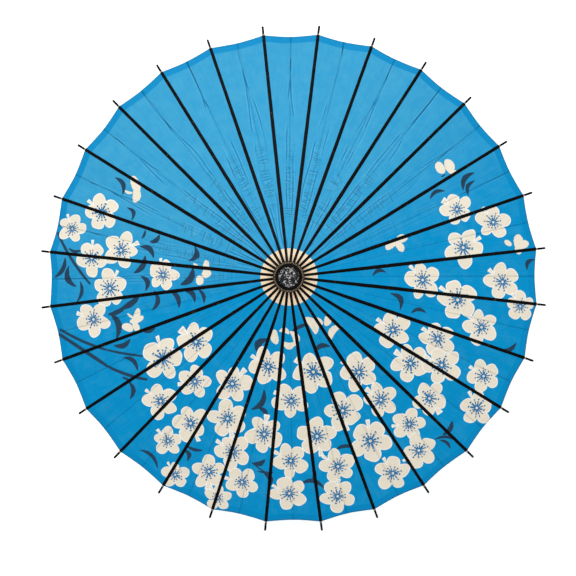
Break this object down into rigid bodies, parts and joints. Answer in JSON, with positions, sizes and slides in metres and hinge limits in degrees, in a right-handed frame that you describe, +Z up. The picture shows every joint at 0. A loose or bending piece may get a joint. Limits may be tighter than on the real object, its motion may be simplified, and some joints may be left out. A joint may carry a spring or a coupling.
{
  "type": "oil paper umbrella",
  "caption": "Round oiled-paper parasol printed with plum blossom on thin black bamboo ribs, with folding stretchers, a sliding runner and a straight wooden handle.",
  "frame": {"origin": "centre of the flat foot of the grip, below the middle of the open canopy", "axes": "+Z up along the shaft towards the top notch, +X along rib_01"},
  "size_m": [0.8432, 0.8432, 0.5749],
  "materials": {
    "oiled_paper": "satin",
    "cream_paper": "matte",
    "split_bamboo": "satin",
    "notch_wood": "satin",
    "pole_wood": "satin",
    "black_lacquer": "gloss",
    "tie_thread": "matte"
  },
  "bodies": {
    "root": {"shaft": "pole_wood", "top_notch": "notch_wood", "canopy": "oiled_paper"},
    "runner": {"runner": "notch_wood"},
    "rib_01": {"rib_01": "split_bamboo"},
    "stretcher_01": {"stretcher_01": "split_bamboo"},
    "rib_02": {"rib_02": "split_bamboo"},
    "stretcher_02": {"stretcher_02": "split_bamboo"},
    "rib_03": {"rib_03": "split_bamboo"},
    "stretcher_03": {"stretcher_03": "split_bamboo"},
    "rib_04": {"rib_04": "split_bamboo"},
    "stretcher_04": {"stretcher_04": "split_bamboo"},
    "rib_05": {"rib_05": "split_bamboo"},
    "stretcher_05": {"stretcher_05": "split_bamboo"},
    "rib_06": {"rib_06": "split_bamboo"},
    "stretcher_06": {"stretcher_06": "split_bamboo"},
    "rib_07": {"rib_07": "split_bamboo"},
    "stretcher_07": {"stretcher_07": "split_bamboo"},
    "rib_08": {"rib_08": "split_bamboo"},
    "stretcher_08": {"stretcher_08": "split_bamboo"},
    "rib_09": {"rib_09": "split_bamboo"},
    "stretcher_09": {"stretcher_09": "split_bamboo"},
    "rib_10": {"rib_10": "split_bamboo"},
    "stretcher_10": {"stretcher_10": "split_bamboo"},
    "rib_11": {"rib_11": "split_bamboo"},
    "stretcher_11": {"stretcher_11": "split_bamboo"},
    "rib_12": {"rib_12": "split_bamboo"},
    "stretcher_12": {"stretcher_12": "split_bamboo"},
    "rib_13": {"rib_13": "split_bamboo"},
    "stretcher_13": {"stretcher_13": "split_bamboo"},
    "rib_14": {"rib_14": "split_bamboo"},
    "stretcher_14": {"stretcher_14": "split_bamboo"},
    "rib_15": {"rib_15": "split_bamboo"},
    "stretcher_15": {"stretcher_15": "split_bamboo"},
    "rib_16": {"rib_16": "split_bamboo"},
    "stretcher_16": {"stretcher_16": "split_bamboo"},
    "rib_17": {"rib_17": "split_bamboo"},
    "stretcher_17": {"stretcher_17": "split_bamboo"},
    "rib_18": {"rib_18": "split_bamboo"},
    "stretcher_18": {"stretcher_18": "split_bamboo"},
    "rib_19": {"rib_19": "split_bamboo"},
    "stretcher_19": {"stretcher_19": "split_bamboo"},
    "rib_20": {"rib_20": "split_bamboo"},
    "stretcher_20": {"stretcher_20": "split_bamboo"},
    "rib_21": {"rib_21": "split_bamboo"},
    "stretcher_21": {"stretcher_21": "split_bamboo"},
    "rib_22": {"rib_22": "split_bamboo"},
    "stretcher_22": {"stretcher_22": "split_bamboo"},
    "rib_23": {"rib_23": "split_bamboo"},
    "stretcher_23": {"stretcher_23": "split_bamboo"},
    "rib_24": {"rib_24": "split_bamboo"},
    "stretcher_24": {"stretcher_24": "split_bamboo"},
    "rib_25": {"rib_25": "split_bamboo"},
    "stretcher_25": {"stretcher_25": "split_bamboo"},
    "rib_26": {"rib_26": "split_bamboo"},
    "stretcher_26": {"stretcher_26": "split_bamboo"},
    "rib_27": {"rib_27": "split_bamboo"},
    "stretcher_27": {"stretcher_27": "split_bamboo"},
    "rib_28": {"rib_28": "split_bamboo"},
    "stretcher_28": {"stretcher_28": "split_bamboo"}
  },
  "joints": [
    {"name": "fold", "type": "hinge", "parent": "root", "child": "rib_01", "pos_m": [0.018, 0, 0.56], "axis": [0, 1, 0], "range_deg": [0, 66], "deforming": ["canopy"]},
    {"name": "rib_fold_02", "type": "hinge", "parent": "root", "child": "rib_02", "pos_m": [0.01755, 0.004, 0.56], "axis": [-0.2225, 0.9749, 0], "range_deg": [0, 66]},
    {"name": "rib_fold_03", "type": "hinge", "parent": "root", "child": "rib_03", "pos_m": [0.01622, 0.00781, 0.56], "axis": [-0.4339, 0.901, 0], "range_deg": [0, 66]},
    {"name": "rib_fold_04", "type": "hinge", "parent": "root", "child": "rib_04", "pos_m": [0.01407, 0.01122, 0.56], "axis": [-0.6235, 0.7818, 0], "range_deg": [0, 66]},
    {"name": "rib_fold_05", "type": "hinge", "parent": "root", "child": "rib_05", "pos_m": [0.01122, 0.01407, 0.56], "axis": [-0.7818, 0.6235, 0], "range_deg": [0, 66]},
    {"name": "rib_fold_06", "type": "hinge", "parent": "root", "child": "rib_06", "pos_m": [0.00781, 0.01622, 0.56], "axis": [-0.901, 0.4339, 0], "range_deg": [0, 66]},
    {"name": "rib_fold_07", "type": "hinge", "parent": "root", "child": "rib_07", "pos_m": [0.004, 0.01755, 0.56], "axis": [-0.9749, 0.2225, 0], "range_deg": [0, 66]},
    {"name": "rib_fold_08", "type": "hinge", "parent": "root", "child": "rib_08", "pos_m": [0, 0.018, 0.56], "axis": [-1, 0, 0], "range_deg": [0, 66]},
    {"name": "rib_fold_09", "type": "hinge", "parent": "root", "child": "rib_09", "pos_m": [-0.004, 0.01755, 0.56], "axis": [-0.9749, -0.2225, 0], "range_deg": [0, 66]},
    {"name": "rib_fold_10", "type": "hinge", "parent": "root", "child": "rib_10", "pos_m": [-0.00781, 0.01622, 0.56], "axis": [-0.901, -0.4339, 0], "range_deg": [0, 66]},
    {"name": "rib_fold_11", "type": "hinge", "parent": "root", "child": "rib_11", "pos_m": [-0.01122, 0.01407, 0.56], "axis": [-0.7818, -0.6235, 0], "range_deg": [0, 66]},
    {"name": "rib_fold_12", "type": "hinge", "parent": "root", "child": "rib_12", "pos_m": [-0.01407, 0.01122, 0.56], "axis": [-0.6235, -0.7818, 0], "range_deg": [0, 66]},
    {"name": "rib_fold_13", "type": "hinge", "parent": "root", "child": "rib_13", "pos_m": [-0.01622, 0.00781, 0.56], "axis": [-0.4339, -0.901, 0], "range_deg": [0, 66]},
    {"name": "rib_fold_14", "type": "hinge", "parent": "root", "child": "rib_14", "pos_m": [-0.01755, 0.004, 0.56], "axis": [-0.2225, -0.9749, 0], "range_deg": [0, 66]},
    {"name": "rib_fold_15", "type": "hinge", "parent": "root", "child": "rib_15", "pos_m": [-0.018, 0, 0.56], "axis": [0, -1, 0], "range_deg": [0, 66]},
    {"name": "rib_fold_16", "type": "hinge", "parent": "root", "child": "rib_16", "pos_m": [-0.01755, -0.004, 0.56], "axis": [0.2225, -0.9749, 0], "range_deg": [0, 66]},
    {"name": "rib_fold_17", "type": "hinge", "parent": "root", "child": "rib_17", "pos_m": [-0.01622, -0.00781, 0.56], "axis": [0.4339, -0.901, 0], "range_deg": [0, 66]},
    {"name": "rib_fold_18", "type": "hinge", "parent": "root", "child": "rib_18", "pos_m": [-0.01407, -0.01122, 0.56], "axis": [0.6235, -0.7818, 0], "range_deg": [0, 66]},
    {"name": "rib_fold_19", "type": "hinge", "parent": "root", "child": "rib_19", "pos_m": [-0.01122, -0.01407, 0.56], "axis": [0.7818, -0.6235, 0], "range_deg": [0, 66]},
    {"name": "rib_fold_20", "type": "hinge", "parent": "root", "child": "rib_20", "pos_m": [-0.00781, -0.01622, 0.56], "axis": [0.901, -0.4339, 0], "range_deg": [0, 66]},
    {"name": "rib_fold_21", "type": "hinge", "parent": "root", "child": "rib_21", "pos_m": [-0.004, -0.01755, 0.56], "axis": [0.9749, -0.2225, 0], "range_deg": [0, 66]},
    {"name": "rib_fold_22", "type": "hinge", "parent": "root", "child": "rib_22", "pos_m": [0, -0.018, 0.56], "axis": [1, 0, 0], "range_deg": [0, 66]},
    {"name": "rib_fold_23", "type": "hinge", "parent": "root", "child": "rib_23", "pos_m": [0.004, -0.01755, 0.56], "axis": [0.9749, 0.2225, 0], "range_deg": [0, 66]},
    {"name": "rib_fold_24", "type": "hinge", "parent": "root", "child": "rib_24", "pos_m": [0.00781, -0.01622, 0.56], "axis": [0.901, 0.4339, 0], "range_deg": [0, 66]},
    {"name": "rib_fold_25", "type": "hinge", "parent": "root", "child": "rib_25", "pos_m": [0.01122, -0.01407, 0.56], "axis": [0.7818, 0.6235, 0], "range_deg": [0, 66]},
    {"name": "rib_fold_26", "type": "hinge", "parent": "root", "child": "rib_26", "pos_m": [0.01407, -0.01122, 0.56], "axis": [0.6235, 0.7818, 0], "range_deg": [0, 66]},
    {"name": "rib_fold_27", "type": "hinge", "parent": "root", "child": "rib_27", "pos_m": [0.01622, -0.00781, 0.56], "axis": [0.4339, 0.901, 0], "range_deg": [0, 66]},
    {"name": "rib_fold_28", "type": "hinge", "parent": "root", "child": "rib_28", "pos_m": [0.01755, -0.004, 0.56], "axis": [0.2225, 0.9749, 0], "range_deg": [0, 66]},
    {"name": "stretcher_fold_01", "type": "hinge", "parent": "rib_01", "child": "stretcher_01", "pos_m": [0.18026, 0, 0.49444], "axis": [0, 1, 0], "range_deg": [-132, 0]},
    {"name": "stretcher_fold_02", "type": "hinge", "parent": "rib_02", "child": "stretcher_02", "pos_m": [0.17574, 0.04011, 0.49444], "axis": [-0.2225, 0.9749, 0], "range_deg": [-132, 0]},
    {"name": "stretcher_fold_03", "type": "hinge", "parent": "rib_03", "child": "stretcher_03", "pos_m": [0.16241, 0.07821, 0.49444], "axis": [-0.4339, 0.901, 0], "range_deg": [-132, 0]},
    {"name": "stretcher_fold_04", "type": "hinge", "parent": "rib_04", "child": "stretcher_04", "pos_m": [0.14093, 0.11239, 0.49444], "axis": [-0.6235, 0.7818, 0], "range_deg": [-132, 0]},
    {"name": "stretcher_fold_05", "type": "hinge", "parent": "rib_05", "child": "stretcher_05", "pos_m": [0.11239, 0.14093, 0.49444], "axis": [-0.7818, 0.6235, 0], "range_deg": [-132, 0]},
    {"name": "stretcher_fold_06", "type": "hinge", "parent": "rib_06", "child": "stretcher_06", "pos_m": [0.07821, 0.16241, 0.49444], "axis": [-0.901, 0.4339, 0], "range_deg": [-132, 0]},
    {"name": "stretcher_fold_07", "type": "hinge", "parent": "rib_07", "child": "stretcher_07", "pos_m": [0.04011, 0.17574, 0.49444], "axis": [-0.9749, 0.2225, 0], "range_deg": [-132, 0]},
    {"name": "stretcher_fold_08", "type": "hinge", "parent": "rib_08", "child": "stretcher_08", "pos_m": [0, 0.18026, 0.49444], "axis": [-1, 0, 0], "range_deg": [-132, 0]},
    {"name": "stretcher_fold_09", "type": "hinge", "parent": "rib_09", "child": "stretcher_09", "pos_m": [-0.04011, 0.17574, 0.49444], "axis": [-0.9749, -0.2225, 0], "range_deg": [-132, 0]},
    {"name": "stretcher_fold_10", "type": "hinge", "parent": "rib_10", "child": "stretcher_10", "pos_m": [-0.07821, 0.16241, 0.49444], "axis": [-0.901, -0.4339, 0], "range_deg": [-132, 0]},
    {"name": "stretcher_fold_11", "type": "hinge", "parent": "rib_11", "child": "stretcher_11", "pos_m": [-0.11239, 0.14093, 0.49444], "axis": [-0.7818, -0.6235, 0], "range_deg": [-132, 0]},
    {"name": "stretcher_fold_12", "type": "hinge", "parent": "rib_12", "child": "stretcher_12", "pos_m": [-0.14093, 0.11239, 0.49444], "axis": [-0.6235, -0.7818, 0], "range_deg": [-132, 0]},
    {"name": "stretcher_fold_13", "type": "hinge", "parent": "rib_13", "child": "stretcher_13", "pos_m": [-0.16241, 0.07821, 0.49444], "axis": [-0.4339, -0.901, 0], "range_deg": [-132, 0]},
    {"name": "stretcher_fold_14", "type": "hinge", "parent": "rib_14", "child": "stretcher_14", "pos_m": [-0.17574, 0.04011, 0.49444], "axis": [-0.2225, -0.9749, 0], "range_deg": [-132, 0]},
    {"name": "stretcher_fold_15", "type": "hinge", "parent": "rib_15", "child": "stretcher_15", "pos_m": [-0.18026, 0, 0.49444], "axis": [0, -1, 0], "range_deg": [-132, 0]},
    {"name": "stretcher_fold_16", "type": "hinge", "parent": "rib_16", "child": "stretcher_16", "pos_m": [-0.17574, -0.04011, 0.49444], "axis": [0.2225, -0.9749, 0], "range_deg": [-132, 0]},
    {"name": "stretcher_fold_17", "type": "hinge", "parent": "rib_17", "child": "stretcher_17", "pos_m": [-0.16241, -0.07821, 0.49444], "axis": [0.4339, -0.901, 0], "range_deg": [-132, 0]},
    {"name": "stretcher_fold_18", "type": "hinge", "parent": "rib_18", "child": "stretcher_18", "pos_m": [-0.14093, -0.11239, 0.49444], "axis": [0.6235, -0.7818, 0], "range_deg": [-132, 0]},
    {"name": "stretcher_fold_19", "type": "hinge", "parent": "rib_19", "child": "stretcher_19", "pos_m": [-0.11239, -0.14093, 0.49444], "axis": [0.7818, -0.6235, 0], "range_deg": [-132, 0]},
    {"name": "stretcher_fold_20", "type": "hinge", "parent": "rib_20", "child": "stretcher_20", "pos_m": [-0.07821, -0.16241, 0.49444], "axis": [0.901, -0.4339, 0], "range_deg": [-132, 0]},
    {"name": "stretcher_fold_21", "type": "hinge", "parent": "rib_21", "child": "stretcher_21", "pos_m": [-0.04011, -0.17574, 0.49444], "axis": [0.9749, -0.2225, 0], "range_deg": [-132, 0]},
    {"name": "stretcher_fold_22", "type": "hinge", "parent": "rib_22", "child": "stretcher_22", "pos_m": [0, -0.18026, 0.49444], "axis": [1, 0, 0], "range_deg": [-132, 0]},
    {"name": "stretcher_fold_23", "type": "hinge", "parent": "rib_23", "child": "stretcher_23", "pos_m": [0.04011, -0.17574, 0.49444], "axis": [0.9749, 0.2225, 0], "range_deg": [-132, 0]},
    {"name": "stretcher_fold_24", "type": "hinge", "parent": "rib_24", "child": "stretcher_24", "pos_m": [0.07821, -0.16241, 0.49444], "axis": [0.901, 0.4339, 0], "range_deg": [-132, 0]},
    {"name": "stretcher_fold_25", "type": "hinge", "parent": "rib_25", "child": "stretcher_25", "pos_m": [0.11239, -0.14093, 0.49444], "axis": [0.7818, 0.6235, 0], "range_deg": [-132, 0]},
    {"name": "stretcher_fold_26", "type": "hinge", "parent": "rib_26", "child": "stretcher_26", "pos_m": [0.14093, -0.11239, 0.49444], "axis": [0.6235, 0.7818, 0], "range_deg": [-132, 0]},
    {"name": "stretcher_fold_27", "type": "hinge", "parent": "rib_27", "child": "stretcher_27", "pos_m": [0.16241, -0.07821, 0.49444], "axis": [0.4339, 0.901, 0], "range_deg": [-132, 0]},
    {"name": "stretcher_fold_28", "type": "hinge", "parent": "rib_28", "child": "stretcher_28", "pos_m": [0.17574, -0.04011, 0.49444], "axis": [0.2225, 0.9749, 0], "range_deg": [-132, 0]},
    {"name": "runner_slide", "type": "hinge", "parent": "stretcher_01", "child": "runner", "pos_m": [0.018, 0, 0.42889], "axis": [0, 1, 0], "range_deg": [0, 66]}
  ],
  "couplings": [
    {"joint": "rib_fold_02", "follows": "fold", "ratio": 1},
    {"joint": "rib_fold_03", "follows": "fold", "ratio": 1},
    {"joint": "rib_fold_04", "follows": "fold", "ratio": 1},
    {"joint": "rib_fold_05", "follows": "fold", "ratio": 1},
    {"joint": "rib_fold_06", "follows": "fold", "ratio": 1},
    {"joint": "rib_fold_07", "follows": "fold", "ratio": 1},
    {"joint": "rib_fold_08", "follows": "fold", "ratio": 1},
    {"joint": "rib_fold_09", "follows": "fold", "ratio": 1},
    {"joint": "rib_fold_10", "follows": "fold", "ratio": 1},
    {"joint": "rib_fold_11", "follows": "fold", "ratio": 1},
    {"joint": "rib_fold_12", "follows": "fold", "ratio": 1},
    {"joint": "rib_fold_13", "follows": "fold", "ratio": 1},
    {"joint": "rib_fold_14", "follows": "fold", "ratio": 1},
    {"joint": "rib_fold_15", "follows": "fold", "ratio": 1},
    {"joint": "rib_fold_16", "follows": "fold", "ratio": 1},
    {"joint": "rib_fold_17", "follows": "fold", "ratio": 1},
    {"joint": "rib_fold_18", "follows": "fold", "ratio": 1},
    {"joint": "rib_fold_19", "follows": "fold", "ratio": 1},
    {"joint": "rib_fold_20", "follows": "fold", "ratio": 1},
    {"joint": "rib_fold_21", "follows": "fold", "ratio": 1},
    {"joint": "rib_fold_22", "follows": "fold", "ratio": 1},
    {"joint": "rib_fold_23", "follows": "fold", "ratio": 1},
    {"joint": "rib_fold_24", "follows": "fold", "ratio": 1},
    {"joint": "rib_fold_25", "follows": "fold", "ratio": 1},
    {"joint": "rib_fold_26", "follows": "fold", "ratio": 1},
    {"joint": "rib_fold_27", "follows": "fold", "ratio": 1},
    {"joint": "rib_fold_28", "follows": "fold", "ratio": 1},
    {"joint": "stretcher_fold_01", "follows": "fold", "ratio": -2},
    {"joint": "stretcher_fold_02", "follows": "fold", "ratio": -2},
    {"joint": "stretcher_fold_03", "follows": "fold", "ratio": -2},
    {"joint": "stretcher_fold_04", "follows": "fold", "ratio": -2},
    {"joint": "stretcher_fold_05", "follows": "fold", "ratio": -2},
    {"joint": "stretcher_fold_06", "follows": "fold", "ratio": -2},
    {"joint": "stretcher_fold_07", "follows": "fold", "ratio": -2},
    {"joint": "stretcher_fold_08", "follows": "fold", "ratio": -2},
    {"joint": "stretcher_fold_09", "follows": "fold", "ratio": -2},
    {"joint": "stretcher_fold_10", "follows": "fold", "ratio": -2},
    {"joint": "stretcher_fold_11", "follows": "fold", "ratio": -2},
    {"joint": "stretcher_fold_12", "follows": "fold", "ratio": -2},
    {"joint": "stretcher_fold_13", "follows": "fold", "ratio": -2},
    {"joint": "stretcher_fold_14", "follows": "fold", "ratio": -2},
    {"joint": "stretcher_fold_15", "follows": "fold", "ratio": -2},
    {"joint": "stretcher_fold_16", "follows": "fold", "ratio": -2},
    {"joint": "stretcher_fold_17", "follows": "fold", "ratio": -2},
    {"joint": "stretcher_fold_18", "follows": "fold", "ratio": -2},
    {"joint": "stretcher_fold_19", "follows": "fold", "ratio": -2},
    {"joint": "stretcher_fold_20", "follows": "fold", "ratio": -2},
    {"joint": "stretcher_fold_21", "follows": "fold", "ratio": -2},
    {"joint": "stretcher_fold_22", "follows": "fold", "ratio": -2},
    {"joint": "stretcher_fold_23", "follows": "fold", "ratio": -2},
    {"joint": "stretcher_fold_24", "follows": "fold", "ratio": -2},
    {"joint": "stretcher_fold_25", "follows": "fold", "ratio": -2},
    {"joint": "stretcher_fold_26", "follows": "fold", "ratio": -2},
    {"joint": "stretcher_fold_27", "follows": "fold", "ratio": -2},
    {"joint": "stretcher_fold_28", "follows": "fold", "ratio": -2},
    {"joint": "runner_slide", "follows": "fold", "ratio": 1}
  ]
}
